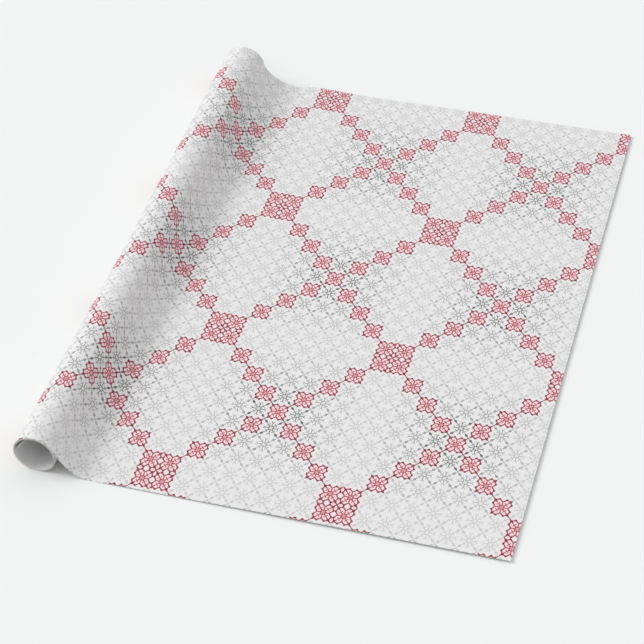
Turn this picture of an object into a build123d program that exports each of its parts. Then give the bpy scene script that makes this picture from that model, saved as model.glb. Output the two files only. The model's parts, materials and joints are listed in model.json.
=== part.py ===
from build123d import *
import math
import os

# A coreless roll of gift wrap, part unrolled: one paper web, wound on itself, that leaves the
# roll high on its right-hand side, sweeps down to the table and lies flat to its cut end.
# Millimetres. X runs from the roll to the cut end, Y along the roll, Z up.
# The origin is the middle of the footprint, on the table.

# ---------------------------------------------------------------- driving dimensions
WEB_WIDTH = 736.6  # a 29 in web
PAPER = 0.15  # thickness of the paper
ROLL_RADIUS = 23.3  # outside of the wound roll
AXIS_TO_CUT_END = 504.0  # from the roll's axis to the cut end
LEAVE_ANGLE = 28.0  # where the web leaves the roll, above the horizontal
SWEEP_RADIUS = 40.0  # hollow bend where the web comes down on the table
LANDING_LENGTH = 17.0  # flat stretch between that bend and the first laid panel
PANEL_COUNT = 6  # laid panels between the lines that the sheet flexes at

WOUND_TURNS = 9  # turns that lie tight on each other
TURN_PITCH = 0.23  # paper and the air between two turns
LOOSE_START_ANGLE = 310.0  # where the innermost turn springs away from the others
LOOSE_SHRINK = 0.6  # how much smaller its radius is than the turn before it
LOOSE_SWEEP = 308.0  # it stops short of a full turn, at its free edge

# clearances between stretches of the web that move apart
LEAD_CLEARANCE = 0.15  # between the roll and the web that leaves it
FLEX_CLEARANCE = 0.3  # between two panels at the line they flex at
SEAM_ANGLE = 0.25  # trimmed from each end of a turn, in degrees

# ---------------------------------------------------------------- places
FOOTPRINT_LENGTH = ROLL_RADIUS + AXIS_TO_CUT_END
ROLL_X = ROLL_RADIUS - FOOTPRINT_LENGTH / 2
ROLL_Z = ROLL_RADIUS
CUT_END_X = FOOTPRINT_LENGTH / 2


def on_circle(centre, radius, degrees):
    """A point in the roll's end plane, as (x, z)."""
    turn = math.radians(degrees)
    return centre[0] + radius * math.cos(turn), centre[1] + radius * math.sin(turn)


def across_the_web(outline):
    """Sweeps an outline, drawn as (x, z), over the full width of the web."""
    return extrude(Plane.XZ * outline, amount=WEB_WIDTH / 2, both=True)


def band(centre, radius, start, sweep):
    """A strip of paper bent to an arc: its middle surface has that radius."""
    outer = CenterArc(centre, radius + PAPER / 2, start, sweep)
    inner = CenterArc(centre, radius - PAPER / 2, start, sweep)
    return make_face([outer, Line(outer @ 1, inner @ 1), inner, Line(inner @ 0, outer @ 0)])


# ---------------------------------------------------------------- the wound roll
# Two half circles make each turn. The second has its centre half a pitch off the axis, so
# that the turns run on into each other without a step.
AXIS = (ROLL_X, ROLL_Z)
HALF_STEP = TURN_PITCH / 2
OFFSET_CENTRE = on_circle(AXIS, -HALF_STEP, LEAVE_ANGLE)


def turn_radius(index):
    """Middle surface of the first half of a turn. Turn 0 is the outermost."""
    return ROLL_RADIUS - PAPER / 2 - index * TURN_PITCH


def wound_turn(index, end_angle=LEAVE_ANGLE + 360 - SEAM_ANGLE):
    half_way = LEAVE_ANGLE + 180
    first_start = LEAVE_ANGLE + SEAM_ANGLE
    first = band(AXIS, turn_radius(index), first_start, half_way - first_start)
    second = band(
        OFFSET_CENTRE, turn_radius(index) - HALF_STEP, half_way, end_angle - half_way
    )
    return across_the_web(first + second)


LAST_RADIUS = turn_radius(WOUND_TURNS - 1) - HALF_STEP
LOOSE_RADIUS = LAST_RADIUS - LOOSE_SHRINK
LOOSE_CENTRE = on_circle(OFFSET_CENTRE, LOOSE_SHRINK, LOOSE_START_ANGLE)


def loose_inner_turn():
    """The sprung innermost turn. Its inside is the roll's bore."""
    start = LOOSE_START_ANGLE + SEAM_ANGLE
    return across_the_web(band(LOOSE_CENTRE, LOOSE_RADIUS, start, LOOSE_SWEEP - SEAM_ANGLE))


# ---------------------------------------------------------------- the web off the roll
def lead_off_curve():
    """The web from the roll to the table: straight off the roll, then a hollow bend."""
    sine = math.sin(math.radians(LEAVE_ANGLE))
    cosine = math.cos(math.radians(LEAVE_ANGLE))
    lift = ROLL_RADIUS + LEAD_CLEARANCE + PAPER / 2
    start_x, start_z = on_circle(AXIS, lift, LEAVE_ANGLE)
    drop = start_z - PAPER / 2
    straight = (drop - SWEEP_RADIUS * (1 - sine)) / cosine
    bend_centre = (
        start_x + straight * sine + SWEEP_RADIUS * cosine,
        PAPER / 2 + SWEEP_RADIUS,
    )
    landing_end = bend_centre[0] + LANDING_LENGTH
    first_angle = 180 + LEAVE_ANGLE
    bend_sweep = 90 - LEAVE_ANGLE

    def side(offset):
        """One face of the paper, that far above the middle surface."""
        begin = on_circle(AXIS, lift + offset, LEAVE_ANGLE)
        bend = CenterArc(bend_centre, SWEEP_RADIUS - offset, first_angle, bend_sweep)
        return [
            Line(begin, bend @ 0),
            bend,
            Line(bend @ 1, (landing_end, PAPER / 2 + offset)),
        ]

    top, under = side(PAPER / 2), side(-PAPER / 2)
    ends = [Line(top[0] @ 0, under[0] @ 0), Line(top[-1] @ 1, under[-1] @ 1)]
    return across_the_web(make_face(top + under + ends)), landing_end


def laid_panel(start_x, end_x):
    """A flat stretch of the laid sheet."""
    length = end_x - start_x
    centre = Pos(start_x + length / 2, 0, PAPER / 2)
    return centre * Box(length, WEB_WIDTH, PAPER)


def laid_panels(first_x):
    """The laid sheet, parted by a hair at each line it flexes at."""
    pitch = (CUT_END_X - first_x) / PANEL_COUNT
    panels = []
    for index in range(PANEL_COUNT):
        start_x = first_x + index * pitch + FLEX_CLEARANCE / 2
        end_x = first_x + (index + 1) * pitch - FLEX_CLEARANCE / 2
        if index == PANEL_COUNT - 1:
            end_x = CUT_END_X
        panels.append(laid_panel(start_x, end_x))
    return panels, pitch


# ---------------------------------------------------------------- the nodes
parts = {"outer_turn": wound_turn(0)}
for number in range(2, WOUND_TURNS):
    parts[f"wound_turn_{number}"] = wound_turn(number - 1)
parts[f"wound_turn_{WOUND_TURNS}"] = wound_turn(
    WOUND_TURNS - 1, LOOSE_START_ANGLE - SEAM_ANGLE
)
parts["loose_inner_turn"] = loose_inner_turn()

parts["lead_off_curve"], LANDING_END_X = lead_off_curve()
panels, PANEL_PITCH = laid_panels(LANDING_END_X)
for number, panel in enumerate(panels[:-1], start=1):
    parts[f"laid_panel_{number}"] = panel
parts["cut_end_panel"] = panels[-1]

os.makedirs("parts", exist_ok=True)
for name, solid in parts.items():
    export_step(solid, f"parts/{name}.step")

print(f"roll axis      x {ROLL_X:.3f} z {ROLL_Z:.3f}")
print(f"bore           x {LOOSE_CENTRE[0]:.3f} z {LOOSE_CENTRE[1]:.3f}", end=" ")
print(f"radius {LOOSE_RADIUS - PAPER / 2:.3f}")
print(f"landing ends   x {LANDING_END_X:.3f}, panel pitch {PANEL_PITCH:.3f}")
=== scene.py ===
import json
import math

import bpy
import numpy as np
from mathutils import Matrix, Vector


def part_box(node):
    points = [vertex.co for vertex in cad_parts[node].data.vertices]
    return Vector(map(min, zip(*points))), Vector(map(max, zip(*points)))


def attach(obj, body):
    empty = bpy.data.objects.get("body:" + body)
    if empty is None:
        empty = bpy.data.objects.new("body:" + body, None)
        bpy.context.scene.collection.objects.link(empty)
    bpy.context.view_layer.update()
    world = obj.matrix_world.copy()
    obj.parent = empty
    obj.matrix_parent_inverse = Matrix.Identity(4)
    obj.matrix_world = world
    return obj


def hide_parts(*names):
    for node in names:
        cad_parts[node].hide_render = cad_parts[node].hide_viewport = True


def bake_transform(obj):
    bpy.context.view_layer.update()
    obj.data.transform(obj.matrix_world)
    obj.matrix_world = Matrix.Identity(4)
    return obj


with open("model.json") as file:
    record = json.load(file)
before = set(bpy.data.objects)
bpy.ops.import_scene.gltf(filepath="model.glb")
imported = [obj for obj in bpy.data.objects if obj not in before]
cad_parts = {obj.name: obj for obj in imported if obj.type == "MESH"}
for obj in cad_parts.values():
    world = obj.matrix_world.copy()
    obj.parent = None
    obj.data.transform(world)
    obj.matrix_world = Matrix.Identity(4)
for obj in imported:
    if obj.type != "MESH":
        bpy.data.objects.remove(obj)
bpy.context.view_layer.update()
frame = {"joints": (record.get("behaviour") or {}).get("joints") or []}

MM = 0.001

# ---------------------------------------------------------------- sizes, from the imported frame
FLEX_LINES = 5  # between the six panels of the laid sheet
PANELS = [f"laid_panel_{i + 1}" for i in range(FLEX_LINES)] + ["cut_end_panel"]
HINGE_X = [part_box(node)[1].x for node in PANELS[:-1]]
HALF_PANEL = (HINGE_X[1] - HINGE_X[0]) / 2
CUT_END_X, HALF_WIDTH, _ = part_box("cut_end_panel")[1]
LANDING_END_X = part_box("lead_off_curve")[1].x
JOINTS = {joint["name"]: joint for joint in frame["joints"]}
PULL_OFF = JOINTS["pull_off"]["range_m"][1]
AXIS_X, _, AXIS_Z = JOINTS["roll_spin"]["pos_m"]
ROLL_RADIUS = AXIS_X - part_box("outer_turn")[0].x

# ---------------------------------------------------------------- the web's path
PAPER = 0.12 * MM  # drawn a little thinner than the CAD solid
FLOOR_GAP = 0.06 * MM
TURN_PITCH = 0.23 * MM
LEAVE_ANGLE = math.radians(28)
LEAVE_RADIUS = ROLL_RADIUS + 0.075 * MM  # middle of the paper where it leaves the roll
WOUND_TURNS = 9
LOOSE_START = math.radians(310) - LEAVE_ANGLE  # past the leave line, in the last wound turn
LOOSE_SWEEP = math.radians(308)
SEAM_GAP = 0.03 * MM

# how far the real web strays from the straight CAD one
ROLL_GROWTH = 2.8 * MM  # the winding is looser at its far end
LANDING_X = -190 * MM  # where the sweep reaches the table, over most of the width
LANDING_NEAR_SHIFT = 10 * MM  # and how much later it does so at the near and the far edge
LANDING_FAR_SHIFT = 18 * MM
SETTLED_LIFT = 2.9 * MM
HUMP_LIFT = 1.6 * MM
FAR_LIFT = 2.4 * MM
NEAR_DIP = 0.72  # the share of its lift that the near edge loses behind the landing
NEAR_DIP_EASED = 0.65  # how much of that share it has back further along

# the print, in cells: nine to a repeat, both along the web and across it
CELLS = 9
CELLS_ACROSS = 29
REPEATS_DRAWN = 3  # pull_off draws off three whole repeats
CELL_U = PULL_OFF / REPEATS_DRAWN / CELLS  # along the web
CELL_V = 2 * HALF_WIDTH / CELLS_ACROSS  # across the web
PRINT_START_X = -118.4 * MM  # where a repeat starts on the laid sheet
PRINT_START_Y = -337.5 * MM
LEAVE_U = -5.39  # the print's place, in cells, where the web leaves the roll
EDGE_SHIFT = 2.0 * MM  # the row along the near edge is printed this much further out


def smooth_step(value, low, high):
    t = np.clip((value - low) / (high - low), 0, 1)
    return t * t * (3 - 2 * t)


def near_share(y):
    """0 over most of the width, 1 at the near edge."""
    return smooth_step(-y, 310 * MM, HALF_WIDTH)


def far_share(y):
    """0 over most of the width, 1 at the far edge."""
    return smooth_step(y, 150 * MM, HALF_WIDTH)


def roll_growth(y):
    """How much looser the winding gets towards its far end."""
    return ROLL_GROWTH * smooth_step(y, -100 * MM, HALF_WIDTH)


def roll_centre(y):
    """The looser end rests on the table too, so its axis is higher, and it lies a little further
    from the sheet."""
    return AXIS_X - 0.6 * roll_growth(y), AXIS_Z + roll_growth(y)


def landing_x(y):
    """Where the sweep reaches the table."""
    return LANDING_X + LANDING_NEAR_SHIFT * near_share(y) + LANDING_FAR_SHIFT * far_share(y)


def lift(x, y):
    """How far the laid sheet stands off the table: stiff paper that was rolled never lies dead flat.
    It springs up into a low hump behind the landing, then settles, and it dips at the near edge."""
    past = (x - landing_x(y)) / MM  # millimetres past the landing
    settled = SETTLED_LIFT * smooth_step(past, 0, 30)
    hump = HUMP_LIFT * smooth_step(past, 0, 20) * (1 - smooth_step(past, 25, 105))
    edge_dip = near_share(y) * (NEAR_DIP - NEAR_DIP_EASED * smooth_step(past, 25, 220))
    far_rise = FAR_LIFT * far_share(y) * (1 - smooth_step(past, 20, 100))
    return (settled + hump * (1 - far_share(y))) * (1 - edge_dip) + far_rise


def landing_z(x, y):
    return FLOOR_GAP + PAPER / 2 + lift(x, y)


HUG_STEPS = 4
FALL_STEPS = 34
LANDING_STEPS = 14


def sweep_points(y):
    """The web from the leave line: it hugs the roll a little further, falls in a curve to the table,
    and runs on to the straight end of the landing. A list of (x, z)."""
    centre_x, centre_z = roll_centre(y)
    radius = LEAVE_RADIUS + roll_growth(y)
    part_angle = LEAVE_ANGLE - math.radians(16 - 14 * near_share(y))
    path = []
    for angle in np.linspace(LEAVE_ANGLE, part_angle, HUG_STEPS + 1)[:-1]:
        path.append((centre_x + radius * math.cos(angle), centre_z + radius * math.sin(angle)))
    part = np.array((centre_x + radius * math.cos(part_angle), centre_z + radius * math.sin(part_angle)))
    down = np.array((math.sin(part_angle), -math.cos(part_angle)))
    land = np.array((landing_x(y), landing_z(landing_x(y), y)))
    drop_pull = (14 + 5 * near_share(y)) * MM
    land_pull = (13 + 7 * near_share(y) + 9 * far_share(y)) * MM
    corners = (part, part + down * drop_pull, land - np.array((land_pull, 0)), land)
    for t in np.linspace(0, 1, FALL_STEPS + 1):
        weights = ((1 - t) ** 3, 3 * t * (1 - t) ** 2, 3 * t * t * (1 - t), t ** 3)
        x, z = sum(weight * corner for weight, corner in zip(weights, corners))
        path.append((x, z))
    for x in np.linspace(landing_x(y), LANDING_END_X, LANDING_STEPS + 1)[1:]:
        path.append((x, landing_z(x, y)))
    return path


def print_u(x):
    return (x - PRINT_START_X) / CELL_U


def print_v(y):
    return (y - PRINT_START_Y + EDGE_SHIFT * smooth_step(-y, 320 * MM, 358 * MM)) / CELL_V


# ---------------------------------------------------------------- thin closed paper from a grid
def paper_strip(name, points, uv, materials):
    """points[i, j] is the middle of the paper, i along the web and j across it; uv is the print's place.
    The printed face lies on the side that points away from the roll's axis, or up on the table."""
    along, across = points.shape[:2]
    du = np.gradient(points, axis=0)
    dv = np.gradient(points, axis=1)
    normal = np.cross(du, dv)
    normal /= np.linalg.norm(normal, axis=2, keepdims=True)
    faces_out = points + normal * PAPER / 2
    faces_in = points - normal * PAPER / 2
    vertices = np.concatenate([faces_out.reshape(-1, 3), faces_in.reshape(-1, 3)])
    back = along * across

    def at(i, j):
        return i * across + j

    printed, plain = [], []
    for i in range(along - 1):
        for j in range(across - 1):
            a, b, c, d = at(i, j), at(i + 1, j), at(i + 1, j + 1), at(i, j + 1)
            printed.append((a, b, c, d))
            plain.append((d + back, c + back, b + back, a + back))
    for i in range(along - 1):
        for j, turn in ((0, 1), (across - 1, -1)):
            rim = (at(i, j), at(i, j) + back, at(i + 1, j) + back, at(i + 1, j))
            plain.append(rim[::turn])
    for j in range(across - 1):
        for i, turn in ((0, -1), (along - 1, 1)):
            rim = (at(i, j), at(i, j) + back, at(i, j + 1) + back, at(i, j + 1))
            plain.append(rim[::turn])
    mesh = bpy.data.meshes.new(name)
    mesh.from_pydata(vertices.tolist(), [], printed + plain)
    layer = mesh.uv_layers.new(name="web")
    place = np.concatenate([uv.reshape(-1, 2), uv.reshape(-1, 2)])
    corner = np.zeros(len(mesh.loops), np.int32)
    mesh.loops.foreach_get("vertex_index", corner)
    layer.data.foreach_set("uv", place[corner].astype(np.float32).ravel())
    mesh.polygons.foreach_set("material_index", [0] * len(printed) + [1] * len(plain))
    for material in materials:
        mesh.materials.append(material)
    mesh.shade_smooth()
    mesh.set_sharp_from_angle(angle=math.radians(40))
    piece = bpy.data.objects.new(name, mesh)
    bpy.context.scene.collection.objects.link(piece)
    return piece


ACROSS_STEPS = 60
ACROSS = np.linspace(-HALF_WIDTH, HALF_WIDTH, ACROSS_STEPS + 1)


def grid(rows):
    """rows is a list of functions of y that give (x, z, u)."""
    points = np.zeros((len(rows), len(ACROSS), 3))
    uv = np.zeros((len(rows), len(ACROSS), 2))
    for i, row in enumerate(rows):
        for j, y in enumerate(ACROSS):
            x, z, u = row(y)
            points[i, j] = (x, y, z)
            uv[i, j] = (u, print_v(y))
    return points, uv


def wound_row(angle, sag=0.0):
    """angle runs inwards along the web from the leave line. sag is how far the web stands off the
    turn outside it at the mouth; further in it is a little under half of that."""
    def row(y):
        centre_x, centre_z = roll_centre(y)
        radius = LEAVE_RADIUS + roll_growth(y) - TURN_PITCH * angle / math.tau
        arc = (LEAVE_RADIUS + roll_growth(y)) * angle - TURN_PITCH * angle * angle / (2 * math.tau)
        loose = sag * (0.45 + 0.55 * smooth_step(-y, 100 * MM, HALF_WIDTH))
        at = LEAVE_ANGLE + angle
        x = centre_x + (radius - loose) * math.cos(at)
        z = centre_z + (radius - loose) * math.sin(at)
        return x, z, LEAVE_U - arc / CELL_U
    return row


def laid_row(x):
    def row(y):
        return x, landing_z(x, y), print_u(x)
    return row


def sweep_grid():
    """The sweep's points, with the print spread evenly along it."""
    steps = HUG_STEPS + FALL_STEPS + LANDING_STEPS + 1
    points = np.zeros((steps, len(ACROSS), 3))
    uv = np.zeros((steps, len(ACROSS), 2))
    lengths = []
    for j, y in enumerate(ACROSS):
        path = np.array(sweep_points(y))
        run = np.concatenate([[0], np.cumsum(np.linalg.norm(np.diff(path, axis=0), axis=1))])
        points[:, j, 0], points[:, j, 1], points[:, j, 2] = path[:, 0], y, path[:, 1]
        uv[:, j, 0] = LEAVE_U + (print_u(LANDING_END_X) - LEAVE_U) * run / run[-1]
        uv[:, j, 1] = print_v(y)
        lengths.append(run[-1])
    return points, uv, sum(lengths) / len(lengths)


# ---------------------------------------------------------------- materials
class Shader:
    """Builds shader maths from short calls. A value is a socket or a plain number."""

    def __init__(self, tree):
        self.tree = tree

    def node(self, kind, **settings):
        made = self.tree.nodes.new(kind)
        for key, value in settings.items():
            setattr(made, key, value)
        return made

    def feed(self, socket, value):
        if isinstance(value, bpy.types.NodeSocket):
            self.tree.links.new(value, socket)
        else:
            socket.default_value = value

    def math(self, operation, *values, clamp=False):
        made = self.node("ShaderNodeMath", operation=operation, use_clamp=clamp)
        for socket, value in zip(made.inputs, values):
            self.feed(socket, value)
        return made.outputs[0]

    def vector(self, operation, *values, scale=None):
        made = self.node("ShaderNodeVectorMath", operation=operation)
        for socket, value in zip(made.inputs, values):
            self.feed(socket, value)
        if scale is not None:
            self.feed(made.inputs["Scale"], scale)
        return made.outputs["Value" if operation in ("DOT_PRODUCT", "LENGTH") else "Vector"]

    def point(self, x, y):
        made = self.node("ShaderNodeCombineXYZ")
        self.feed(made.inputs[0], x)
        self.feed(made.inputs[1], y)
        return made.outputs[0]

    def parts(self, value):
        made = self.node("ShaderNodeSeparateXYZ")
        self.feed(made.inputs[0], value)
        return made.outputs[0], made.outputs[1]

    def ramp(self, value, low, high, to_low=0.0, to_high=1.0, smooth=True):
        made = self.node("ShaderNodeMapRange", interpolation_type="SMOOTHSTEP" if smooth else "LINEAR")
        for socket, number in zip(made.inputs, (value, low, high, to_low, to_high)):
            self.feed(socket, number)
        return made.outputs[0]

    def mix(self, share, first, second):
        made = self.node("ShaderNodeMix", data_type="RGBA")
        self.feed(made.inputs[0], share)
        self.feed(made.inputs[6], first)
        self.feed(made.inputs[7], second)
        return made.outputs[2]

    def highest(self, values):
        top = values[0]
        for value in values[1:]:
            top = self.math("MAXIMUM", top, value)
        return top

    def noise(self, place, scale, detail=2.0, roughness=0.5):
        made = self.node("ShaderNodeTexNoise", noise_dimensions="3D")
        self.feed(made.inputs["Vector"], place)
        made.inputs["Scale"].default_value = scale
        made.inputs["Detail"].default_value = detail
        made.inputs["Roughness"].default_value = roughness
        return made.outputs["Fac"]

    # shapes, as 0 to 1 masks of a point in a cell, with an edge this soft either way
    EDGE = 0.012

    def within(self, distance, size):
        return self.ramp(distance, size + self.EDGE, size - self.EDGE)

    def stroke(self, at, start, end, half_width):
        """A straight line between two points."""
        run = Vector((end[0] - start[0], end[1] - start[1], 0))
        offset = self.vector("SUBTRACT", at, (start[0], start[1], 0))
        share = self.vector("DOT_PRODUCT", offset, tuple(run / run.length_squared))
        share = self.math("MULTIPLY", share, 1.0, clamp=True)
        nearest = self.vector("SCALE", tuple(run), scale=share)
        return self.within(self.vector("LENGTH", self.vector("SUBTRACT", offset, nearest)), half_width)

    def dot(self, at, centre, radius):
        offset = self.vector("SUBTRACT", at, (centre[0], centre[1], 0))
        return self.within(self.vector("LENGTH", offset), radius)

    def ring(self, at, centre, radius, half_width):
        offset = self.vector("SUBTRACT", at, (centre[0], centre[1], 0))
        gap = self.math("SUBTRACT", self.vector("LENGTH", offset), radius)
        return self.within(self.math("ABSOLUTE", gap), half_width)

    def lozenge(self, at, centre, direction, half_length, half_width):
        """A diamond with its long axis along direction."""
        along = Vector((direction[0], direction[1], 0)).normalized()
        side = Vector((-along.y, along.x, 0))
        offset = self.vector("SUBTRACT", at, (centre[0], centre[1], 0))
        first = self.math("ABSOLUTE", self.vector("DOT_PRODUCT", offset, tuple(along / half_length)))
        second = self.math("ABSOLUTE", self.vector("DOT_PRODUCT", offset, tuple(side / half_width)))
        total = self.math("ADD", first, second)
        return self.ramp(total, 1 + self.EDGE / half_width, 1 - self.EDGE / half_width)

    def behind(self, at, point, outward, soft):
        """1 on the near side of a line through point, 0 past it, softened by that much either way."""
        away = Vector((outward[0], outward[1], 0)).normalized()
        offset = self.vector("SUBTRACT", at, (point[0], point[1], 0))
        return self.ramp(self.vector("DOT_PRODUCT", offset, tuple(away)), soft, -soft)


def linear(red, green, blue):
    """A colour in 0 to 255 display values, as the shader wants it."""
    def one(value):
        value /= 255
        return value / 12.92 if value <= 0.04045 else ((value + 0.055) / 1.055) ** 2.4
    return (one(red), one(green), one(blue), 1.0)


PAPER_WHITE = linear(234, 232, 232)
BACK_WHITE = linear(228, 228, 227)
RED_INK = linear(140, 2, 42)
DEEP_RED_INK = linear(118, 4, 42)
PINK_TINT = linear(255, 206, 211)
GREY_INK = linear(82, 90, 90)
GREY_FADE = 0.37  # how fast the grey fades from square to square


def print_group():
    """The printed pattern. In: a place in cells. Out: its colour, and how much ink lies there."""
    tree = bpy.data.node_groups.new("gift wrap print", "ShaderNodeTree")
    tree.interface.new_socket("Place", in_out="INPUT", socket_type="NodeSocketVector")
    tree.interface.new_socket("Color", in_out="OUTPUT", socket_type="NodeSocketColor")
    tree.interface.new_socket("Ink", in_out="OUTPUT", socket_type="NodeSocketFloat")
    s = Shader(tree)
    given = s.node("NodeGroupInput").outputs["Place"]
    u, v = s.parts(given)

    # which cell of the repeat, and where in it
    repeat_u = s.math("FLOORED_MODULO", u, float(CELLS))
    repeat_v = s.math("FLOORED_MODULO", v, float(CELLS))
    column, line = s.math("FLOOR", repeat_u), s.math("FLOOR", repeat_v)
    x = s.math("SUBTRACT", s.math("FRACT", u), 0.5)
    y = s.math("SUBTRACT", s.math("FRACT", v), 0.5)
    tolerance = 0.1  # both sides are whole numbers
    rising = s.math("COMPARE", column, line, tolerance)
    falling = s.math("COMPARE", s.math("ADD", column, line), CELLS - 1.0, tolerance)
    red_cell = s.math("MAXIMUM", rising, falling)

    # a cell is eight times the same wedge, in which the first coordinate is at least the second
    wide, tall = s.math("ABSOLUTE", x), s.math("ABSOLUTE", y)
    at = s.point(s.math("MAXIMUM", wide, tall), s.math("MINIMUM", wide, tall))

    # the snowflake that every cell has
    flake = s.highest([
        s.stroke(at, (0.07, 0.0), (0.32, 0.0), 0.025),
        s.stroke(at, (0.30, 0.0), (0.385, 0.075), 0.020),
        s.stroke(at, (0.08, 0.08), (0.28, 0.28), 0.019),
        s.stroke(at, (0.175, 0.175), (0.255, 0.125), 0.020),
        s.ring(at, (0.0, 0.0), 0.125, 0.018),
        s.dot(at, (0.110, 0.110), 0.038),
    ])
    thread = s.stroke(at, (0.28, 0.28), (0.5, 0.5), 0.017)
    cord = s.stroke(at, (0.28, 0.28), (0.5, 0.5), 0.030)
    bead = s.lozenge(at, (0.36, 0.36), (1, 1), 0.140, 0.078)

    # what a red cell adds: the lobed outline and its small diamonds
    outline = s.highest([
        s.stroke(at, (0.30, 0.0), (0.425, 0.160), 0.029),
        s.stroke(at, (0.43, 0.19), (0.375, 0.325), 0.026),
    ])
    small_bead = s.lozenge(at, (0.447, 0.176), (0, 1), 0.076, 0.070)
    # and the pink that fills it, which bleeds a little past the outline
    field = s.math(
        "MULTIPLY",
        s.behind(at, (0.345, -0.03), (0.165, -0.125), 0.06),
        s.behind(at, (0.48, 0.21), (0.135, 0.055), 0.06),
    )
    eyelet = s.dot(at, (0.322, 0.158), 0.070)
    heart = s.dot(at, (0.0, 0.0), 0.10)

    # the thread between two red cells is red on the diagonal that joins them, and on both
    # diagonals where four red cells meet in a block
    same_sign = s.math("GREATER_THAN", s.math("MULTIPLY", x, y), 0.0)
    other_sign = s.math("SUBTRACT", 1.0, same_sign)
    on_link = s.math(
        "MAXIMUM", s.math("MULTIPLY", rising, same_sign), s.math("MULTIPLY", falling, other_sign)
    )
    middle = (CELLS - 1) / 2
    columns_off = s.math("ABSOLUTE", s.math("SUBTRACT", column, middle))
    in_block = s.math("MULTIPLY", red_cell, s.math("GREATER_THAN", columns_off, middle - 0.5))
    on_link = s.math("MAXIMUM", on_link, in_block)
    red_thread = s.math("MULTIPLY", cord, on_link)
    grey_thread = s.math("MULTIPLY", thread, s.math("SUBTRACT", 1.0, on_link))
    window = s.math("MULTIPLY", s.dot(at, (0.5, 0.31), 0.11), in_block)

    # grey is strongest round the crossing of two red chains, and fades square by square away from it
    lines_off = s.math("ABSOLUTE", s.math("SUBTRACT", line, middle))
    ring = s.math("MAXIMUM", columns_off, lines_off)
    strength = s.math("EXPONENT", s.math("MULTIPLY", s.math("SUBTRACT", ring, 1.0), -GREY_FADE))
    strength = s.math("MINIMUM", strength, 1.0)

    grey_shape = s.math("MAXIMUM", s.math("MULTIPLY", flake, 0.92), bead)
    grey_shape = s.math("MULTIPLY", grey_shape, s.math("SUBTRACT", 1.0, red_cell))
    grey_shape = s.math("MAXIMUM", grey_shape, s.math("MULTIPLY", grey_thread, 0.9))
    grey = s.math("MULTIPLY", grey_shape, strength)
    red = s.highest([flake, outline, bead, small_bead, s.math("MULTIPLY", heart, 0.4)])
    red = s.math("MULTIPLY", red, red_cell)
    red = s.math("MAXIMUM", red, red_thread)
    deep = s.highest([bead, s.math("MULTIPLY", small_bead, 0.9), s.math("MULTIPLY", outline, 0.3)])
    tint = s.math("SUBTRACT", field, s.math("MULTIPLY", eyelet, 0.75), clamp=True)
    tint = s.math("MAXIMUM", s.math("MULTIPLY", tint, red_cell), s.math("MULTIPLY", window, 0.8))

    # ink is never quite even
    mottle = s.ramp(s.noise(given, 3.1, 3.0), 0.3, 0.7, 0.86, 1.0, smooth=False)
    grey = s.math("MULTIPLY", grey, mottle)
    red_tone = s.mix(deep, RED_INK, DEEP_RED_INK)
    colour = s.mix(tint, PAPER_WHITE, PINK_TINT)
    colour = s.mix(grey, colour, GREY_INK)
    colour = s.mix(s.math("MULTIPLY", red, mottle), colour, red_tone)
    out = s.node("NodeGroupOutput")
    s.feed(out.inputs["Color"], colour)
    s.feed(out.inputs["Ink"], s.math("MAXIMUM", grey, red))
    return tree


PRINT = print_group()


def paper_base(name):
    material = bpy.data.materials.new(name)
    material.use_nodes = True
    tree = material.node_tree
    tree.nodes.clear()
    s = Shader(tree)
    body = s.node("ShaderNodeBsdfPrincipled")
    out = s.node("ShaderNodeOutputMaterial")
    tree.links.new(body.outputs[0], out.inputs[0])
    return material, s, body


def paper_grain(s, place, depth):
    """Fibres pressed into a smooth calendered sheet. place is in metres."""
    fibres = s.noise(place, 2600.0, 3.0, 0.6)
    clouds = s.noise(place, 90.0, 2.0)
    height = s.math("ADD", s.math("MULTIPLY", fibres, 0.7), s.math("MULTIPLY", clouds, 0.3))
    bump = s.node("ShaderNodeBump")
    bump.inputs["Strength"].default_value = 0.25
    bump.inputs["Distance"].default_value = depth
    s.feed(bump.inputs["Height"], height)
    return fibres, clouds, bump.outputs[0]


def printed_paper(name, stretches=False):
    """The printed face. On the stretch that pull_off draws out, the print is placed by where the
    paper lies now; everywhere else it is placed by how far along the web it is."""
    material, s, body = paper_base(name)
    if stretches:
        place = s.node("ShaderNodeTexCoord").outputs["Object"]
        along, _ = s.parts(place)
        _, across = s.parts(s.node("ShaderNodeUVMap", uv_map="web").outputs[0])
        cells = s.point(s.math("DIVIDE", s.math("SUBTRACT", along, PRINT_START_X), CELL_U), across)
    else:
        cells = s.node("ShaderNodeUVMap", uv_map="web").outputs[0]
        place = s.vector("MULTIPLY", cells, (CELL_U, CELL_V, 0))
    pattern = s.node("ShaderNodeGroup", node_tree=PRINT)
    s.feed(pattern.inputs["Place"], cells)
    fibres, clouds, normal = paper_grain(s, place, 0.05 * MM)
    tone = s.ramp(clouds, 0.35, 0.65, 0.985, 1.0, smooth=False)
    shade = s.vector("SCALE", pattern.outputs["Color"], scale=tone)
    s.feed(body.inputs["Base Color"], shade)
    dull = s.ramp(fibres, 0.3, 0.7, 0.50, 0.60, smooth=False)
    gloss = s.math("MULTIPLY", pattern.outputs["Ink"], 0.10)
    s.feed(body.inputs["Roughness"], s.math("SUBTRACT", dull, gloss))
    s.feed(body.inputs["Normal"], normal)
    body.inputs["Specular IOR Level"].default_value = 0.30
    return material


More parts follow.
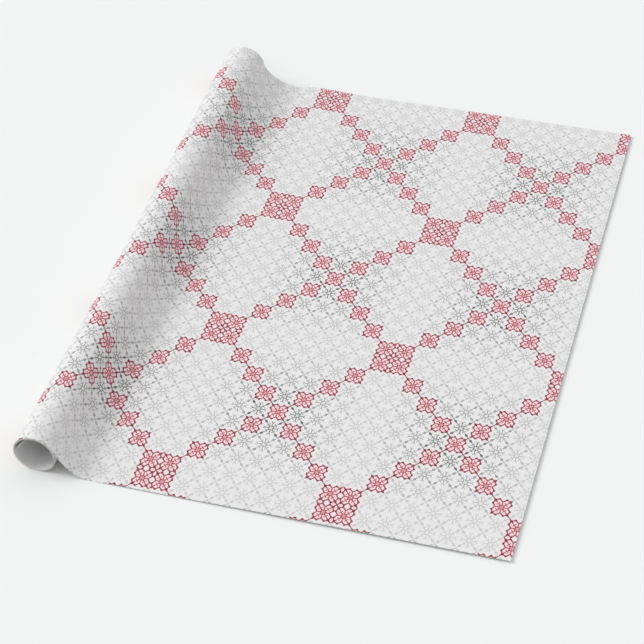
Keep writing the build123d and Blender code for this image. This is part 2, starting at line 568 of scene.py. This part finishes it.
def plain_paper(name):
    """The unprinted back, and the cut edges."""
    material, s, body = paper_base(name)
    cells = s.node("ShaderNodeUVMap", uv_map="web").outputs[0]
    place = s.vector("MULTIPLY", cells, (CELL_U, CELL_V, 0))
    fibres, clouds, normal = paper_grain(s, place, 0.08 * MM)
    tone = s.ramp(clouds, 0.35, 0.65, 0.97, 1.0, smooth=False)
    s.feed(body.inputs["Base Color"], s.vector("SCALE", BACK_WHITE[:3], scale=tone))
    s.feed(body.inputs["Roughness"], s.ramp(fibres, 0.3, 0.7, 0.70, 0.85, smooth=False))
    s.feed(body.inputs["Normal"], normal)
    body.inputs["Specular IOR Level"].default_value = 0.20
    return material


PRINTED = printed_paper("printed face")
STRETCHING = printed_paper("printed face, drawn stretch", stretches=True)
PLAIN = plain_paper("plain back and edges")


# ---------------------------------------------------------------- the roll
def wound_piece(name, start, end, body, node, steps, sag=None):
    """A stretch of the winding between two angles along the web."""
    trim = SEAM_GAP / ROLL_RADIUS
    angles = np.linspace(start + trim, end - trim, steps + 1)
    rows = [wound_row(angle, 0.0 if sag is None else sag(angle)) for angle in angles]
    points, uv = grid(rows)
    # the path runs inwards, so it is turned round to put the printed face outside
    piece = paper_strip(name, points[::-1], uv[::-1], [PRINTED, PLAIN])
    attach(piece, body)
    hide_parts(node)


STEPS_PER_TURN = 144
wound_piece("outer_turn_web", 0, math.tau, "roll", "outer_turn", STEPS_PER_TURN)
for turn in range(2, WOUND_TURNS + 1):
    start = math.tau * (turn - 1)
    end = math.tau * turn if turn < WOUND_TURNS else start + LOOSE_START
    steps = round(STEPS_PER_TURN * (end - start) / math.tau)
    wound_piece(
        f"wound_web_{turn}", start, end, f"turn_{turn}", f"wound_turn_{turn}", steps
    )

LOOSE_FROM = math.tau * (WOUND_TURNS - 1) + LOOSE_START
CRESCENT_AT = math.tau * WOUND_TURNS + math.radians(138) - LEAVE_ANGLE
CRESCENT_REACH = math.radians(23)
CRESCENT_DEPTH = 2.9 * MM
LOOSE_EASE = 0.25 * MM  # how far the rest of the loose turn stands off


def loose_sag(angle):
    """The loose turn has sprung inwards, and most of all along one line: a dark crescent at the mouth."""
    away = (angle - CRESCENT_AT) / CRESCENT_REACH
    eased = LOOSE_EASE * smooth_step(angle, LOOSE_FROM, LOOSE_FROM + 1.0)
    return eased + CRESCENT_DEPTH * math.exp(-away * away)


wound_piece(
    "loose_inner_web", LOOSE_FROM, LOOSE_FROM + LOOSE_SWEEP, "inner_turn", "loose_inner_turn",
    STEPS_PER_TURN, loose_sag,
)

# ---------------------------------------------------------------- the sweep down to the table
points, uv, sweep_length = sweep_grid()
lead_off_web = paper_strip("lead_off_web", points, uv, [PRINTED, PLAIN])
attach(lead_off_web, "lead_off")
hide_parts("lead_off_curve")


# ---------------------------------------------------------------- the laid sheet
LAID_STEP = 3 * MM


def laid_piece(name, start_x, end_x, nodes, face):
    """A stretch of the laid sheet that goes over from one body to the next between the two bend lines."""
    steps = max(4, round((end_x - start_x) / LAID_STEP))
    points, uv = grid([laid_row(x) for x in np.linspace(start_x, end_x, steps + 1)])
    piece = paper_strip(name, points, uv, [face, PLAIN])
    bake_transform(piece)
    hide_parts(*nodes)


first_middle = HINGE_X[0] - HALF_PANEL
laid_piece(
    "drawn_web", LANDING_END_X, first_middle,
    ["laid_panel_1"], STRETCHING,
)
for i, hinge in enumerate(HINGE_X):
    last = i == len(HINGE_X) - 1
    laid_piece(
        f"laid_web_{i + 1}", hinge - HALF_PANEL, CUT_END_X if last else hinge + HALF_PANEL,
        PANELS[i:i + 2], PRINTED,
    )


# ---------------------------------------------------------------- floor, light and camera
def floor():
    mesh = bpy.data.meshes.new("floor")
    half = 12.0
    corners = [(-half, -half, 0), (half, -half, 0), (half, half, 0), (-half, half, 0)]
    mesh.from_pydata(corners, [], [(0, 1, 2, 3)])
    plane = bpy.data.objects.new("floor", mesh)
    bpy.context.scene.collection.objects.link(plane)
    material, s, body = paper_base("pale floor")
    body.inputs["Base Color"].default_value = linear(243, 244, 243)
    body.inputs["Roughness"].default_value = 0.9
    body.inputs["Specular IOR Level"].default_value = 0.1
    mesh.materials.append(material)


def sun_light(name, shines_along, angle, strength):
    data = bpy.data.lights.new(name, "SUN")
    data.angle = math.radians(angle)
    data.energy = strength
    lamp = bpy.data.objects.new(name, data)
    lamp.rotation_euler = Vector(shines_along).to_track_quat("-Z", "Y").to_euler()
    bpy.context.scene.collection.objects.link(lamp)


def soft_world(horizon, above, above_height, overhead):
    """Soft light from all round: pale at the horizon, dimmer just above it, brightest overhead.

    above_height is the sine of the height at which the light is dimmest.
    """
    world = bpy.data.worlds.new("soft studio")
    world.use_nodes = True
    tree = world.node_tree
    place = tree.nodes.new("ShaderNodeTexCoord")
    parts = tree.nodes.new("ShaderNodeSeparateXYZ")
    ramp = tree.nodes.new("ShaderNodeValToRGB")
    ramp.color_ramp.elements.new(above_height)
    for stop, level in zip(ramp.color_ramp.elements, (horizon, above, overhead)):
        stop.color = (level, level, level, 1)
    background = tree.nodes["Background"]
    background.inputs["Color"].default_value = (0.985, 0.997, 1.0, 1)
    tree.links.new(place.outputs["Generated"], parts.inputs["Vector"])
    tree.links.new(parts.outputs["Z"], ramp.inputs["Fac"])
    tree.links.new(ramp.outputs["Color"], background.inputs["Strength"])
    return world


floor()
sun_light("key", (4.8, 0.3, -4.0), 34, 1.42)
bpy.context.scene.world = soft_world(0.85, 0.34, 0.18, 0.96)
bpy.context.scene.view_settings.view_transform = "Standard"

# the camera, solved from the print's lattice and the roll's round mouth: where it stands, which
# way it looks, its lens
CAMERA_PLACE = (0.4758, -1.7012, 1.4987)
CAMERA_TURN = math.radians(16.745)  # left of straight along +Y
CAMERA_TILT = math.radians(41.293)  # below the horizontal
CAMERA_ROLL = math.radians(1.44)
CAMERA_LENS = 112.56
lens = bpy.data.cameras.new("camera")
lens.lens = CAMERA_LENS
lens.sensor_width = 36
lens.clip_start = 0.05
lens.clip_end = 60
camera = bpy.data.objects.new("camera", lens)
camera.matrix_world = (
    Matrix.Translation(CAMERA_PLACE)
    @ Matrix.Rotation(CAMERA_TURN, 4, "Z")
    @ Matrix.Rotation(math.pi / 2 - CAMERA_TILT, 4, "X")
    @ Matrix.Rotation(-CAMERA_ROLL, 4, "Z")
)
bpy.context.scene.collection.objects.link(camera)
bpy.context.scene.camera = camera
